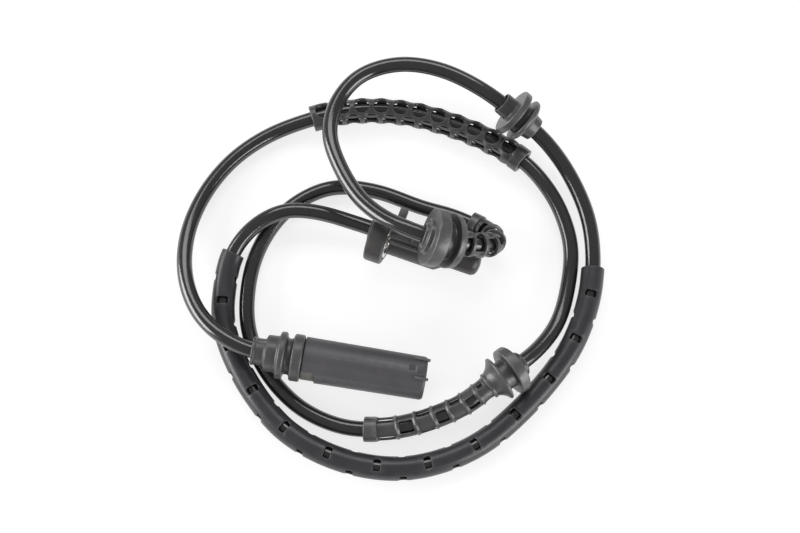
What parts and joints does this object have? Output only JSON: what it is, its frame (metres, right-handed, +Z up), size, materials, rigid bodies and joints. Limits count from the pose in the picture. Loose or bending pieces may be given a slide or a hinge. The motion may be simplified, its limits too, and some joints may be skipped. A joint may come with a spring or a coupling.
{
  "type": "wheel speed sensor",
  "caption": "Vehicle wheel speed sensor: probe head with a bushed mounting ear, a loosely coiled cable with rubber grommets, bend reliefs and slotted sleeves, and a round connector.",
  "frame": {"origin": "on the table under the middle of the sensor head", "axes": "+X along the probe from the cable entry to the tip, +Z up"},
  "size_m": [0.1498, 0.1488, 0.0387],
  "materials": {
    "jacket": "satin",
    "rubber": "matte",
    "sleeve": "satin",
    "nylon": "matte",
    "steel": "satin",
    "brass": "polished",
    "resin": "satin",
    "chip": "matte",
    "magnet": "satin",
    "tin": "satin",
    "seal": "matte",
    "core_light": "satin",
    "core_brown": "satin"
  },
  "bodies": {
    "root": {"sensor_housing": "nylon", "ear_bush": "steel", "entry_plug": "resin", "sensor_carrier": "resin", "hall_element": "chip", "bias_magnet": "magnet", "lead_terminal_a": "tin", "lead_terminal_b": "tin", "head_core_a": "core_light", "head_core_b": "core_brown", "cable": "jacket", "long_sleeve": "sleeve", "scalloped_guard": "rubber", "ladder_grommet": "rubber", "curled_grommet": "rubber", "plain_grommet": "rubber", "connector_boot": "rubber", "connector_shell": "nylon", "contact_insert": "resin", "contact_pin_a": "brass", "contact_pin_b": "brass", "wire_seal_a": "seal", "wire_seal_b": "seal", "plug_core_a": "core_light", "plug_core_b": "core_brown"}
  },
  "joints": []
}
